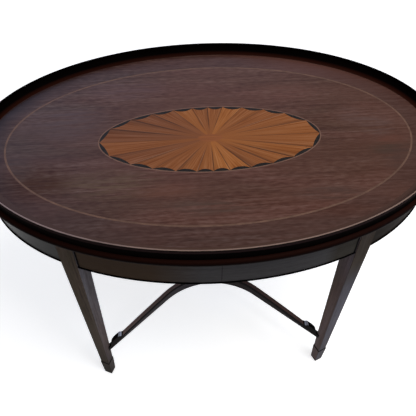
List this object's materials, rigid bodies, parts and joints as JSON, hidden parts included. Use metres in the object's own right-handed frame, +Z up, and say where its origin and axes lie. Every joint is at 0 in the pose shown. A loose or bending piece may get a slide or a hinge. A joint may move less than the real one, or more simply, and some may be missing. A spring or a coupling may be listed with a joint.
{
  "type": "oval occasional table",
  "caption": "Oval tray-top occasional table with a coved gallery, inlaid fan and oval line, shallow frieze, square tapered legs with spade feet and bowed stretchers.",
  "frame": {"origin": "on the floor, under the middle of the oval top", "axes": "+X along the length to the right, +Y to the back, +Z up"},
  "size_m": [0.9158, 0.5628, 0.634],
  "materials": {
    "mahogany_field": "french polished, fine straight grain along the length",
    "mahogany_border": "french polished, grain along the length",
    "boxwood_line": "polished pale line",
    "ebonised": "ebonised, satin",
    "satinwood": "polished, sand-shaded along one edge of each flute",
    "dark_mahogany": "dark stained, polished, worn pale on the top edge",
    "bead_mahogany": "dark stained, polished",
    "frieze_mahogany": "polished veneer",
    "leg_mahogany": "polished, grain along the leg",
    "stretcher_mahogany": "polished",
    "carcase_wood": "planed, unpolished",
    "screw_steel": "dulled steel"
  },
  "bodies": {
    "root": {"field_veneer": "mahogany_field", "border_veneer": "mahogany_border", "stringing_line": "boxwood_line", "fan_string": "boxwood_line", "fan_ground": "ebonised", "fan_flutes": "satinwood", "gallery_rim": "dark_mahogany", "edge_bead": "bead_mahogany", "top_panel": "carcase_wood", "rail_front": "carcase_wood", "frieze_veneer_front": "frieze_mahogany", "cockbead_front": "ebonised", "rail_back": "carcase_wood", "frieze_veneer_back": "frieze_mahogany", "cockbead_back": "ebonised", "rail_left": "carcase_wood", "frieze_veneer_left": "frieze_mahogany", "cockbead_left": "ebonised", "rail_right": "carcase_wood", "frieze_veneer_right": "frieze_mahogany", "cockbead_right": "ebonised", "leg_front_left": "leg_mahogany", "leg_front_right": "leg_mahogany", "leg_back_left": "leg_mahogany", "leg_back_right": "leg_mahogany", "stretcher_front": "stretcher_mahogany", "stretcher_back": "stretcher_mahogany", "stretcher_block": "stretcher_mahogany", "bearer_left": "carcase_wood", "bearer_right": "carcase_wood", "glue_blocks": "carcase_wood", "stretcher_screws": "screw_steel", "top_screws": "screw_steel"}
  },
  "joints": []
}
